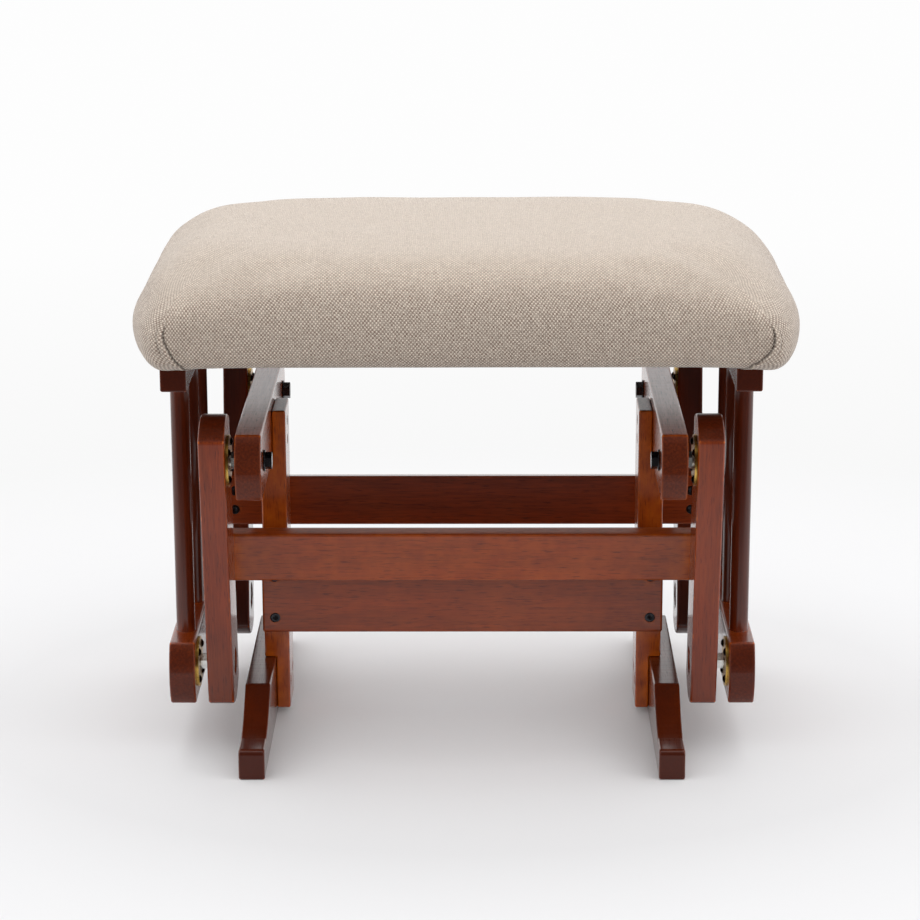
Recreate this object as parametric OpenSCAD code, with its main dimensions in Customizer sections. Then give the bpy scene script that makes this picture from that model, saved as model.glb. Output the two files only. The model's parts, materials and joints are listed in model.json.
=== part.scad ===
// Glider ottoman: a cushioned footrest whose seat hangs on four swinging arms
// from a fixed wooden base. The two arm pairs and the seat form a four-bar
// linkage with its pivot axes along X. The origin is on the floor under the
// middle, +X is to the right, +Y is to the back and +Z is up.

/* [Boards] */
// Thickness of the foot, arm and rail boards
board_t = 22; // [18:1:26]
// Width of the arm and pivot rail boards
board_w = 56; // [50:1:64]
// Radius of the rounded board ends
nose_r = 45; // [34:0.5:60]
// Distance from a pivot to the tip of a rail
tip_reach = 34.5; // [33:0.5:46]

/* [Base] */
// Width over the outer faces of the feet
base_w = 374; // [340:1:440]
// Length of a foot, front to back
foot_len = 365; // [320:1:430]
// Height of the middle of a foot
foot_h = 54.5; // [48:0.5:66]
// Height of a toe
toe_h = 26; // [18:1:32]
// Length of the level top of a toe
toe_land = 31; // [22:1:38]
// Length of the sweep from a toe up to the middle of the foot
toe_sweep = 56; // [46:1:70]
// Radius of the sweep
toe_sweep_r = 146; // [110:1:220]
// Radius of the toe's top corner
toe_corner_r = 5; // [3:0.5:10]
// Thickness of the uprights
upright_t = 22; // [18:1:26]
// Width of the uprights, front to back
upright_w = 49; // [40:1:60]
// Height of a pivot rail above the top of its upright
rail_rise = 10.5; // [0:0.5:16]
// Gap between the uprights and the floor
upright_lift = 7; // [2:0.5:9]
// Depth of the half laps cut in the uprights
lap_depth = 10; // [6:1:12]
// Thickness of the stretcher
stretcher_t = 16; // [12:1:20]
// Height of the stretcher board
stretcher_h = 64; // [56:1:70]
// Height of the stretcher's lower edge
stretcher_low = 83; // [74:1:88]

/* [Linkage] */
// Height of the upper pivots
upper_pivot_h = 261.5; // [252:0.5:270]
// Height of the lower pivots
lower_pivot_h = 74.5; // [72:0.5:88]
// Distance between the front and rear upper pivots
upper_spread = 246; // [226:1:270]
// Distance between the front and rear lower pivots
lower_spread = 185; // [170:1:206]
// Length of an arm above its upper pivot
arm_top_reach = 38.5; // [33:0.5:44]
// Length of an arm below its lower pivot
arm_foot_reach = 35; // [33:0.5:44]
// Gap between a pivot rail and an arm
upper_gap = 8; // [7:0.5:12]
// Gap between an arm and a seat rail
lower_gap = 10; // [8:0.5:14]
// Height of the crossbars
crossbar_h = 44; // [34:1:52]
// Thickness of the crossbars
crossbar_t = 16; // [12:0.5:20]

/* [Seat frame] */
// Height of the lower seat rails
lower_rail_h = 54.5; // [48:0.5:58]
// Distance from the lower pivots down to the lower edge of the lower seat rails
lower_rail_drop = 29.5; // [26:0.5:32]
// Diameter of the posts
post_d = 16; // [12:0.5:18]
// Distance between posts, centre to centre
post_pitch = 82; // [70:1:90]
// Depth of a post's end in a lower rail
post_foot = 9; // [6:0.5:9]
// Depth of a post's end in a top rail
post_head = 12; // [8:0.5:16]
// Height of the top rails
top_rail_h = 30; // [24:1:36]
// Length of the top rails
top_rail_len = 264; // [240:1:300]
// Rise from the upper pivots to the top of the top rails
seat_rise = 90.5; // [80:0.5:112]

/* [Cushion] */
// Overhang of the cushion past the seat rails, on each side
cushion_overhang = 29.5; // [26:0.5:46]
// Depth of the cushion, front to back
cushion_d = 378; // [350:1:430]
// Height of the cushion
cushion_h = 91; // [70:1:110]
// Thickness of the cover with its wadding
cover_t = 1.6; // [1.2:0.1:2]
// Width of the cover's edge turned in under the board
cover_turn = 40; // [25:1:60]
// Thickness of the seat board
seat_board_t = 12; // [9:1:15]
// Distance from the edge of the cushion's underside to the seat board
board_margin = 4; // [3:0.5:12]
// Thickness of the dust cloth
dust_cloth_t = 0.8; // [0.5:0.1:1.2]

/* [Hardware] */
// Diameter of the pivot bolts
bolt_d = 8; // [6:1:8]
// Width across flats of the bolt heads and bearing hubs
hex_af = 13; // [10:0.5:13]
// Diameter of a bearing plate
plate_d = 43; // [42:0.5:48]
// Thickness of a bearing plate
plate_t = 2; // [1.5:0.1:2.5]
// Diameter of the balls
ball_d = 4.8; // [4.4:0.1:5]
// Balls in a bearing
ball_n = 9; // [7:1:10]
// Diameter of the black wood screws
screw_d = 5; // [4:0.5:5]
// Diameter of their heads
screw_head_d = 8.4; // [7.6:0.2:10]

/* [Hidden] */

// Fineness of round parts, of hardware and of the widest arcs
$fn = 64;
fine = 180;

// Overrun of every cut past the face it starts from
cut = 1;

// Planes across the width, on the right-hand side
foot_out = base_w / 2;
foot_in = foot_out - board_t;
upright_out = foot_in + lap_depth;
upright_in = upright_out - upright_t;
arm_in = foot_out + upper_gap;
arm_out = arm_in + board_t;
rail_in = arm_out + lower_gap;
rail_out = rail_in + board_t;
rail_mid = (rail_in + rail_out) / 2;

// Pivots, lean and length of the arms
upper_pivot_y = upper_spread / 2;
lower_pivot_y = lower_spread / 2;
pivot_drop = upper_pivot_h - lower_pivot_h;
lean = atan2(upper_pivot_y - lower_pivot_y, pivot_drop);
pivot_len = pivot_drop / cos(lean);
pivot_rail_len = upper_spread + 2 * tip_reach;
lower_rail_len = lower_spread + 2 * tip_reach;
pivot_rail_low = upper_pivot_h - board_w / 2;
stretcher_front = -upright_w / 2 - stretcher_t;
upright_top = upper_pivot_h + board_w / 2 - rail_rise;

// Levels of the seat frame
seat_h = upper_pivot_h + seat_rise;
lower_rail_low = lower_pivot_h - lower_rail_drop;
lower_rail_top = lower_rail_low + lower_rail_h;
top_rail_low = seat_h - top_rail_h;
post_low = lower_rail_top - post_foot;
post_top = top_rail_low + post_head;

// Clearances
bolt_play = 0.1;
screw_play = 0.25;
hub_play = 0.02;
ball_play = 0.12;
face_gap = 0.5;
lap_play = 0.05;
foam_play = 0.3;
pocket_play = 0.3;

// Bolt, washer and screw sizes that follow their diameters
bolt_head_t = 0.69 * bolt_d;
washer_d = 2.25 * bolt_d;
washer_t = 0.19 * bolt_d;
sink_d = 24.5;
sink_depth = 8;
screw_head_t = 0.36 * screw_head_d;
screw_sink = 0.3;
screw_rim = 0.5;
screw_seat_r = 0.4 * screw_head_d;
screw_recess_share = 0.45;
screw_slot_w = 0.14 * screw_head_d;
frame_screw_len = 28;
crossbar_screw_len = 40;
screw_pitch = 17;
stretcher_screw_inset = 11;
stretcher_screw_margin_share = 0.21;
foot_screw_h = 31.4;
foot_screw_stagger = 2.3;

// Bearing: plate flange, pressed cup, balls and the hub on the bolt
cup_wall = 1.2;
cup_depth = 9;
cup_d = plate_d * 0.605;
cup_in_r = cup_d / 2 - cup_wall;
ball_pitch_r = cup_in_r - ball_play - ball_d / 2;
ball_depth = cup_depth / 2 - cup_wall / 4;
neck_r = ball_pitch_r - ball_d / 2 + 0.06 * ball_d;
neck_end = cup_depth - cup_wall - face_gap;
plate_hole_r = neck_r + 0.17 * ball_d;
// The rear lower hubs have a slim neck, so that the linkage may close loosely. It
// takes this share of the way from the bolt out to the balls.
slim_neck_share = 0.3463;
slim_neck_r = bolt_d / 2 + slim_neck_share * (ball_pitch_r - ball_d / 2 - bolt_d / 2);
plate_screw_d = 3.5;
plate_screw_head_d = 7;
plate_screw_head_t = 2;
plate_head_dome_share = 0.62;
plate_screw_len = 13;
plate_screw_r = plate_d * 0.4;
plate_screw_count = 4;
plate_screw_turn = 45;

// Crossbar places along their arms, as shares of the distance between the pivots
front_bar_share = 0.553;
rear_bar_share = 0.508;

// Seat posts and seat screws
post_count = 3;
seat_screw_y = post_pitch / 2;
seat_screw_sink = 6;
seat_screw_grip_share = 0.8;
seat_screw_len = top_rail_h - seat_screw_sink + cover_t + seat_screw_grip_share * seat_board_t;

// Cushion form: rings from the underside to the crown, each as shares of the
// rounding width (drawn in from the widest outline) and of the cushion height
cushion_round = 62;
cushion_ring_shares = [
    [0.20, 0.00], [0.07, 0.07], [0.01, 0.20], [0.00, 0.36], [0.05, 0.53],
    [0.17, 0.69], [0.38, 0.82], [0.72, 0.91], [1.20, 0.96], [1.90, 0.99]];
cushion_sides = 48;
cushion_square = 6.5;
// The long sides swell a little and the corners are drawn in
cushion_swell = 5;
dust_cloth_lap = 8;

// Width of the cushion, and of the board inside the edge of its underside
cushion_w = 2 * (rail_out + cushion_overhang);
board_inset = cushion_round * cushion_ring_shares[0][0] + cover_t + board_margin;
seat_board_w = cushion_w - 2 * board_inset;
seat_board_d = cushion_d - 2 * board_inset;
dust_cloth_w = 2 * rail_in - 2 * dust_cloth_lap;
dust_cloth_d = seat_board_d - 2 * (cover_turn - dust_cloth_lap);

// Colours as they look on the real piece
wood_colour = [0.42, 0.17, 0.11];
black_colour = [0.08, 0.08, 0.08];
zinc_colour = [0.72, 0.73, 0.72];
yellow_colour = [0.78, 0.62, 0.30];
steel_colour = [0.80, 0.81, 0.82];
ply_colour = [0.78, 0.64, 0.46];
foam_colour = [0.93, 0.88, 0.70];
fabric_colour = [0.84, 0.78, 0.71];
cloth_colour = [0.10, 0.10, 0.11];

// Sides and ends

module left() mirror([1, 0, 0]) children();

module rear() mirror([0, 1, 0]) children();

module both_sides() {
    children();
    left() children();
}

module both_ends() {
    children();
    rear() children();
}

// An outline drawn with its x along Y and its y along Z, thick along X
module plank(thickness) rotate([90, 0, 90]) linear_extrude(thickness) children();

// Stands what is drawn along Z on its side, along X
module along_x() rotate([0, 90, 0]) children();

// A board outline of the given length and width, centred, with arched ends
module arched_board(length, width) {
    half = length / 2;
    intersection() {
        square([length, width], center = true);
        union() {
            square([length - 2 * nose_r, width + 2 * cut], center = true);
            for (s = [-1, 1]) translate([s * (half - nose_r), 0]) circle(r = nose_r, $fn = fine);
        }
    }
}

// Places what is drawn about the upper pivot, with the front arm hanging along -Z
module on_front_arm() {
    translate([0, -upper_pivot_y, upper_pivot_h]) rotate([lean, 0, 0]) children();
}

// Hardware, drawn along Z

module bolt(grip, reach) {
    translate([0, 0, -washer_t - bolt_head_t])
        cylinder(h = bolt_head_t, d = hex_af / cos(30), $fn = 6);
    translate([0, 0, -washer_t - cut / 2]) cylinder(h = washer_t + cut / 2 + grip + reach, d = bolt_d);
}

module washer() {
    translate([0, 0, -washer_t]) difference() {
        cylinder(h = washer_t, d = washer_d);
        translate([0, 0, -cut]) cylinder(h = washer_t + 2 * cut, d = bolt_d + 2 * bolt_play);
    }
}

// Countersunk wood screw with a cross recess, its head just below z = 0
module wood_screw(length) {
    recess = screw_head_t * screw_recess_share;
    tip = screw_d * 0.9;
    shaft_r = screw_d / 2 - screw_play / 2;
    difference() {
        rotate_extrude() polygon([
            [0, -screw_sink], [screw_head_d / 2, -screw_sink],
            [screw_head_d / 2, -screw_sink - screw_rim], [screw_seat_r, -screw_head_t],
            [shaft_r, -screw_head_t], [shaft_r, tip - length], [0, -length]]);
        for (turn = [0, 90]) rotate([0, 0, turn])
            translate([-screw_head_d / 4, -screw_slot_w / 2, -screw_sink - recess])
                cube([screw_head_d / 2, screw_slot_w, recess + cut]);
    }
}

// What the boards lose for a wood screw: the countersink and the shaft's hole
module screw_hole(length) {
    rim_r = screw_head_d / 2 + screw_play;
    rotate_extrude() polygon([
        [0, cut], [rim_r, cut], [rim_r, -screw_sink - screw_rim],
        [screw_seat_r + screw_play, -screw_head_t], [screw_d / 2, -screw_head_t],
        [screw_d / 2, -length], [0, -length]]);
}

// Bearing parts, with z = 0 on the board's face and +z into the board

module plate_screw_places() {
    for (k = [0 : plate_screw_count - 1])
        rotate([0, 0, plate_screw_turn + k * 360 / plate_screw_count])
            translate([plate_screw_r, 0, 0]) children();
}

module bearing_plate() {
    difference() {
        rotate_extrude() difference() {
            union() {
                translate([0, -plate_t]) square([plate_d / 2, plate_t]);
                square([cup_d / 2, cup_depth]);
            }
            square([cup_in_r, cup_depth - cup_wall]);
            translate([0, -plate_t - cut]) square([plate_hole_r, plate_t + 2 * cut]);
        }
        plate_screw_places() translate([0, 0, -plate_t - cut])
            cylinder(h = plate_t + 2 * cut, d = plate_screw_d + screw_play);
    }
}

module bearing_balls() {
    for (k = [0 : ball_n - 1]) rotate([0, 0, k * 360 / ball_n])
        translate([ball_pitch_r, 0, ball_depth]) sphere(d = ball_d);
}

// Hexagon that meets the board at -gap, then a neck with the inner ball track
module bearing_hub(gap, slim) {
    neck = slim ? slim_neck_r : neck_r;
    difference() {
        union() {
            translate([0, 0, -gap])
                cylinder(h = gap - plate_t - face_gap, d = hex_af / cos(30), $fn = 6);
            translate([0, 0, -plate_t - face_gap - cut / 2])
                cylinder(h = plate_t + face_gap + cut / 2 + neck_end, r = neck);
        }
        translate([0, 0, -gap - cut])
            cylinder(h = gap + neck_end + 2 * cut, d = bolt_d + 2 * hub_play);
        if (!slim) rotate_extrude() translate([ball_pitch_r, ball_depth])
            circle(d = ball_d + 2 * ball_play);
    }
}

module plate_screws() {
    plate_screw_places() {
        translate([0, 0, -plate_t - plate_screw_head_t]) rotate_extrude() intersection() {
            square([plate_screw_head_d / 2, plate_screw_head_t]);
            translate([0, plate_screw_head_d * plate_head_dome_share])
                circle(r = plate_screw_head_d * plate_head_dome_share);
        }
        rotate_extrude() polygon([
            [0, -plate_t - cut / 2], [plate_screw_d / 2, -plate_t - cut / 2],
            [plate_screw_d / 2, plate_screw_len - plate_screw_d], [0, plate_screw_len]]);
    }
}

// What a board loses for a bearing: the pocket for the cup and the pilot holes
module bearing_seat() {
    translate([0, 0, -cut])
        cylinder(h = cup_depth + pocket_play + cut, d = cup_d + 2 * pocket_play);
    plate_screw_places() translate([0, 0, -cut])
        cylinder(h = plate_screw_len + cut, d = plate_screw_d);
}

// Base

// Outline of the front half of a foot, sole on the ground
module foot_half_outline() {
    toe = foot_len / 2;
    rise = foot_h - toe_h;
    sweep_start = -toe + toe_land;
    sweep_end = sweep_start + toe_sweep;
    chord = sqrt(toe_sweep * toe_sweep + rise * rise);
    reach = sqrt(toe_sweep_r * toe_sweep_r - chord * chord / 4);
    mid = [(sweep_start + sweep_end) / 2, (toe_h + foot_h) / 2];
    centre = mid + reach * [-rise, toe_sweep] / chord;
    difference() {
        translate([-toe, 0]) square([toe, foot_h]);
        intersection() {
            translate(centre) circle(r = toe_sweep_r, $fn = fine);
            translate([sweep_start, toe_h - cut]) square([toe_sweep, foot_h]);
        }
        translate([-toe - cut, toe_h]) square([toe_land + cut, foot_h]);
        translate([-toe - cut, toe_h - toe_corner_r]) difference() {
            square([toe_corner_r + cut, toe_corner_r + cut]);
            translate([toe_corner_r + cut, 0]) circle(r = toe_corner_r);
        }
    }
}

module foot_right() {
    color(wood_colour) difference() {
        translate([foot_in, 0, 0]) plank(board_t) {
            foot_half_outline();
            mirror([1, 0]) foot_half_outline();
        }
        foot_screw_places() screw_hole(frame_screw_len);
    }
}

module upright_right() {
    color(wood_colour) difference() {
        translate([upright_in, -upright_w / 2, upright_lift])
            cube([upright_t, upright_w, upright_top - upright_lift]);
        translate([foot_in - lap_play, -upright_w / 2 - cut, 0])
            cube([lap_depth + lap_play + cut, upright_w + 2 * cut, foot_h + lap_play]);
        translate([foot_in - lap_play, -upright_w / 2 - cut, pivot_rail_low - lap_play])
            cube([lap_depth + lap_play + cut, upright_w + 2 * cut, upright_top]);
        foot_screw_places() screw_hole(frame_screw_len);
        pivot_rail_screw_places() screw_hole(frame_screw_len);
        stretcher_screw_places() screw_hole(frame_screw_len);
    }
}

// Screws from the inner face of an upright into the foot
module foot_screw_places() {
    for (s = [-1, 1])
        translate([upright_in, s * upright_w / 4, foot_screw_h + s * foot_screw_stagger])
            rotate([0, -90, 0]) children();
}

// Screws from the inner face of an upright into the pivot rail
module pivot_rail_screw_places() {
    middle = (pivot_rail_low + upright_top) / 2;
    for (s = [-1, 1]) translate([upright_in, 0, middle + s * screw_pitch / 2])
        rotate([0, -90, 0]) children();
}

// Screws through the stretcher into the front edge of an upright
module stretcher_screw_places() {
    margin = stretcher_h * stretcher_screw_margin_share;
    for (z = [stretcher_low + margin, stretcher_low + stretcher_h - margin])
        translate([upright_out - stretcher_screw_inset, stretcher_front, z])
            rotate([90, 0, 0]) children();
}

module pivot_rail_right() {
    color(wood_colour) difference() {
        translate([foot_in, 0, upper_pivot_h]) plank(board_t)
            arched_board(pivot_rail_len, board_w);
        both_ends() translate([foot_in - cut, -upper_pivot_y, upper_pivot_h]) along_x()
            cylinder(h = board_t + 2 * cut, d = bolt_d + 2 * bolt_play);
        pivot_rail_screw_places() screw_hole(frame_screw_len);
    }
}

module stretcher() {
    color(wood_colour) difference() {
        translate([-upright_out, stretcher_front, stretcher_low])
            cube([2 * upright_out, stretcher_t, stretcher_h]);
        both_sides() stretcher_screw_places() screw_hole(frame_screw_len);
    }
}

module stretcher_screws() {
    color(black_colour) both_sides() stretcher_screw_places() wood_screw(frame_screw_len);
}

module foot_screws() {
    color(black_colour) both_sides() foot_screw_places() wood_screw(frame_screw_len);
}

module pivot_rail_screws() {
    color(black_colour) both_sides() pivot_rail_screw_places() wood_screw(frame_screw_len);
}

// Pivots of the base

module upper_pivot_places(inset) {
    both_sides() both_ends() translate([inset, -upper_pivot_y, upper_pivot_h]) along_x() children();
}

module upper_bolts() {
    color(black_colour) upper_pivot_places(foot_in)
        bolt(board_t, upper_gap + neck_end);
}

module upper_washers() {
    color(black_colour) upper_pivot_places(foot_in) washer();
}

module upper_hubs() {
    color(zinc_colour) upper_pivot_places(arm_in) bearing_hub(upper_gap, false);
}

// Swings. Each is drawn as the front one, and the rear one is its mirror image.

module crossbar_screw_places(bar_share) {
    for (s = [-1, 1]) translate([
            (arm_in + arm_out) / 2, board_w / 2 + crossbar_t,
            -pivot_len * bar_share + s * screw_pitch / 2])
        rotate([-90, 0, 0]) children();
}

module arm(bar_share) {
    arm_len = pivot_len + arm_top_reach + arm_foot_reach;
    color(wood_colour) on_front_arm() difference() {
        translate([arm_in, 0, arm_top_reach - arm_len / 2]) plank(board_t)
            rotate([0, 0, 90]) arched_board(arm_len, board_w);
        translate([arm_in, 0, 0]) along_x() bearing_seat();
        translate([arm_in - cut, 0, -pivot_len]) along_x() {
            cylinder(h = board_t + 2 * cut, d = bolt_d + 2 * bolt_play);
            cylinder(h = sink_depth + cut, d = sink_d);
        }
        crossbar_screw_places(bar_share) screw_hole(crossbar_screw_len);
    }
}

module crossbar(bar_share) {
    color(wood_colour) on_front_arm() difference() {
        translate([-arm_out, board_w / 2, -pivot_len * bar_share - crossbar_h / 2])
            cube([2 * arm_out, crossbar_t, crossbar_h]);
        both_sides() crossbar_screw_places(bar_share) screw_hole(crossbar_screw_len);
    }
}

module crossbar_screws(bar_share) {
    color(black_colour) on_front_arm() both_sides() crossbar_screw_places(bar_share)
        wood_screw(crossbar_screw_len);
}

module arm_upper_places() {
    on_front_arm() both_sides() translate([arm_in, 0, 0]) along_x() children();
}

module arm_lower_places(inset) {
    on_front_arm() both_sides() translate([inset, 0, -pivot_len]) along_x() children();
}

module lower_bolts() {
    color(black_colour) arm_lower_places(arm_in + sink_depth)
        bolt(board_t - sink_depth, lower_gap + neck_end);
}

module lower_washers() {
    color(black_colour) arm_lower_places(arm_in + sink_depth) washer();
}

module lower_hubs(slim) {
    color(zinc_colour) arm_lower_places(rail_in) bearing_hub(lower_gap, slim);
}

module front_arm_left() left() arm(front_bar_share);
module front_arm_right() arm(front_bar_share);
module front_crossbar() crossbar(front_bar_share);
module front_crossbar_screws() crossbar_screws(front_bar_share);
module front_upper_plates() color(yellow_colour) arm_upper_places() bearing_plate();
module front_upper_balls() color(steel_colour) arm_upper_places() bearing_balls();
module front_upper_plate_screws() color(black_colour) arm_upper_places() plate_screws();
module front_lower_bolts() lower_bolts();
module front_lower_washers() lower_washers();
module front_lower_hubs() lower_hubs(false);

module rear_arm_left() left() rear() arm(rear_bar_share);
module rear_arm_right() rear() arm(rear_bar_share);
module rear_crossbar() rear() crossbar(rear_bar_share);
module rear_crossbar_screws() rear() crossbar_screws(rear_bar_share);
module rear_upper_plates() color(yellow_colour) rear() arm_upper_places() bearing_plate();
module rear_upper_balls() color(steel_colour) rear() arm_upper_places() bearing_balls();
module rear_upper_plate_screws() color(black_colour) rear() arm_upper_places() plate_screws();
module rear_lower_bolts() rear() lower_bolts();
module rear_lower_washers() rear() lower_washers();
module rear_lower_hubs() rear() lower_hubs(true);

// Seat

module post_places() {
    for (k = [0 : post_count - 1])
        translate([rail_mid, (k - (post_count - 1) / 2) * post_pitch, 0]) children();
}

module lower_rail_right() {
    color(wood_colour) difference() {
        translate([rail_in, 0, lower_rail_low + lower_rail_h / 2]) plank(board_t)
            arched_board(lower_rail_len, lower_rail_h);
        both_ends() seat_bearing_place() bearing_seat();
        post_places() translate([0, 0, post_low]) cylinder(h = post_foot + cut, d = post_d);
    }
}

module seat_bearing_place() {
    translate([rail_in, -lower_pivot_y, lower_pivot_h]) along_x() children();
}

module posts_right() {
    color(wood_colour) post_places() translate([0, 0, post_low])
        cylinder(h = post_top - post_low, d = post_d);
}

module seat_screw_places() {
    for (s = [-1, 1]) translate([rail_mid, s * seat_screw_y, top_rail_low + seat_screw_sink])
        rotate([180, 0, 0]) children();
}

module top_rail_right() {
    color(wood_colour) difference() {
        translate([rail_in, -top_rail_len / 2, top_rail_low])
            cube([board_t, top_rail_len, top_rail_h]);
        post_places() translate([0, 0, top_rail_low - cut])
            cylinder(h = post_head + cut, d = post_d);
        seat_screw_places() {
            screw_hole(top_rail_h);
            cylinder(h = seat_screw_sink + cut, d = screw_head_d + 2 * screw_play);
        }
    }
}

module seat_plates() {
    color(yellow_colour) both_sides() seat_bearing_place() bearing_plate();
}

module seat_balls() {
    color(steel_colour) both_sides() seat_bearing_place() bearing_balls();
}

module seat_plate_screws() {
    color(black_colour) both_sides() seat_bearing_place() plate_screws();
}

module lower_rail_left() left() lower_rail_right();
module posts_left() left() posts_right();
module top_rail_left() left() top_rail_right();
module seat_front_plates() seat_plates();
module seat_front_balls() seat_balls();
module seat_front_plate_screws() seat_plate_screws();
module seat_rear_plates() rear() seat_plates();
module seat_rear_balls() rear() seat_balls();
module seat_rear_plate_screws() rear() seat_plate_screws();

module seat_screws() {
    color(black_colour) both_sides() seat_screw_places() wood_screw(seat_screw_len);
}

// Cushion

// The point at angle a of a ring drawn in by the given width at height z
function ring_point(a, inset, z) =
    let (half_w = cushion_w / 2 - cushion_swell - inset,
         half_d = cushion_d / 2 - cushion_swell - inset,
         bend = 2 / cushion_square,
         swell = cushion_swell * pow(abs(cos(2 * a)), 1.5),
         x = sign(cos(a)) * pow(abs(cos(a)), bend) * (half_w + swell),
         y = sign(sin(a)) * pow(abs(sin(a)), bend) * (half_d + swell))
    [x, y, z];

// A closed form inside the cushion's surface by the given thickness
module cushion_form(skin) {
    n = cushion_sides;
    rings = len(cushion_ring_shares);
    crown = cushion_h - skin;
    points = concat(
        [for (ring = cushion_ring_shares, k = [0 : n - 1])
            ring_point(k * 360 / n, skin + ring[0] * cushion_round,
                max(skin, ring[1] * cushion_h - skin * ring[1]))],
        [[0, 0, skin], [0, 0, crown]]);
    faces = concat(
        [for (j = [0 : rings - 2], k = [0 : n - 1])
            [j * n + k, (j + 1) * n + k, j * n + (k + 1) % n]],
        [for (j = [0 : rings - 2], k = [0 : n - 1])
            [j * n + (k + 1) % n, (j + 1) * n + k, (j + 1) * n + (k + 1) % n]],
        [for (k = [0 : n - 1]) [rings * n, k, (k + 1) % n]],
        [for (k = [0 : n - 1])
            [rings * n + 1, (rings - 1) * n + (k + 1) % n, (rings - 1) * n + k]]);
    translate([0, 0, seat_h]) polyhedron(points, faces);
}

// Outline of the seat board, which follows the cushion's underside
module board_outline(grow) {
    polygon([for (k = [0 : cushion_sides - 1])
        let (p = ring_point(k * 360 / cushion_sides, board_inset - grow, 0)) [p[0], p[1]]]);
}

module seat_board() {
    color(ply_colour) difference() {
        translate([0, 0, seat_h + cover_t]) linear_extrude(seat_board_t) board_outline(0);
        both_sides() seat_screw_places() screw_hole(seat_screw_len);
    }
}

module cushion_foam() {
    color(foam_colour) difference() {
        cushion_form(cover_t + foam_play);
        translate([0, 0, seat_h]) linear_extrude(cover_t + seat_board_t + foam_play)
            board_outline(foam_play);
    }
}

module cushion_cover() {
    opening_w = seat_board_w - 2 * cover_turn;
    opening_d = seat_board_d - 2 * cover_turn;
    color(fabric_colour) difference() {
        cushion_form(0);
        cushion_form(cover_t);
        translate([-opening_w / 2, -opening_d / 2, seat_h - cut])
            cube([opening_w, opening_d, cover_t + 2 * cut]);
        both_sides() seat_screw_places() screw_hole(seat_screw_len);
    }
}

module dust_cloth() {
    color(cloth_colour) translate([-dust_cloth_w / 2, -dust_cloth_d / 2, seat_h - dust_cloth_t])
        cube([dust_cloth_w, dust_cloth_d, dust_cloth_t]);
}

module foot_left() left() foot_right();
module upright_left() left() upright_right();
module pivot_rail_left() left() pivot_rail_right();

foot_left();
foot_right();
upright_left();
upright_right();
pivot_rail_left();
pivot_rail_right();
stretcher();
stretcher_screws();
foot_screws();
pivot_rail_screws();
upper_bolts();
upper_washers();
upper_hubs();
front_arm_left();
front_arm_right();
front_crossbar();
front_crossbar_screws();
front_upper_plates();
front_upper_balls();
front_upper_plate_screws();
front_lower_bolts();
front_lower_washers();
front_lower_hubs();
rear_arm_left();
rear_arm_right();
rear_crossbar();
rear_crossbar_screws();
rear_upper_plates();
rear_upper_balls();
rear_upper_plate_screws();
rear_lower_bolts();
rear_lower_washers();
rear_lower_hubs();
lower_rail_left();
lower_rail_right();
posts_left();
posts_right();
top_rail_left();
top_rail_right();
seat_front_plates();
seat_front_balls();
seat_front_plate_screws();
seat_rear_plates();
seat_rear_balls();
seat_rear_plate_screws();
seat_board();
seat_screws();
cushion_foam();
cushion_cover();
dust_cloth();
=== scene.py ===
import json
import math

import bmesh
import bpy
from mathutils import Euler, Matrix, Vector, noise
from mathutils.bvhtree import BVHTree

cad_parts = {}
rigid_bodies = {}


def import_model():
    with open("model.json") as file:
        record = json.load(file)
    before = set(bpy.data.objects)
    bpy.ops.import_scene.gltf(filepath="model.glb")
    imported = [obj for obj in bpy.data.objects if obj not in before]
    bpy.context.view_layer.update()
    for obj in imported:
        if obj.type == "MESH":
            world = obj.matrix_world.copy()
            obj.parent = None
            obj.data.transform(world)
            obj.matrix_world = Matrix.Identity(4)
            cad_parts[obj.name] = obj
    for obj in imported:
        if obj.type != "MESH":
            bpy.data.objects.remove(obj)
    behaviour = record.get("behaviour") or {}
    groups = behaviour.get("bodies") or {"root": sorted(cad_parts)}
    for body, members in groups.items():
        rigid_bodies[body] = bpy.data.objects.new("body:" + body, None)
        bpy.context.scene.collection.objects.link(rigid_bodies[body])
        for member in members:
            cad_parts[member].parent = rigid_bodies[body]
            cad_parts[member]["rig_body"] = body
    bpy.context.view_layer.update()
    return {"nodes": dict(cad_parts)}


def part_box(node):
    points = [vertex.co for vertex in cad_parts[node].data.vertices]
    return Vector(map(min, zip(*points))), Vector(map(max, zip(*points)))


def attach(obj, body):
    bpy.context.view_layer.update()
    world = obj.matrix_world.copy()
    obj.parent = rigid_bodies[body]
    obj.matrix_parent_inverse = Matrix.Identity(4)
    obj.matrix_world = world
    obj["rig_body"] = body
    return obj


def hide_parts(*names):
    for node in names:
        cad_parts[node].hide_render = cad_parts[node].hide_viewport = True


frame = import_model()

# A glider ottoman: a tweed cushion on a cherry-stained frame that swings on four arms.
# Lengths are metres, +Z is up and the front of the ottoman faces -Y.

MM = 0.001
TINY = 1e-9

# Camera, as the photograph was taken
PHOTO_WIDTH_PX = 920
FOCAL_PX = 2945.8
SENSOR_WIDTH = 36.0
CAMERA_PLACE = (0.01457, -2.4941, 0.9028)
CAMERA_PITCH = 15.13
CAMERA_YAW = 0.3815
CAMERA_ROLL = -0.1505
CAMERA_SIGHT = 100

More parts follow.
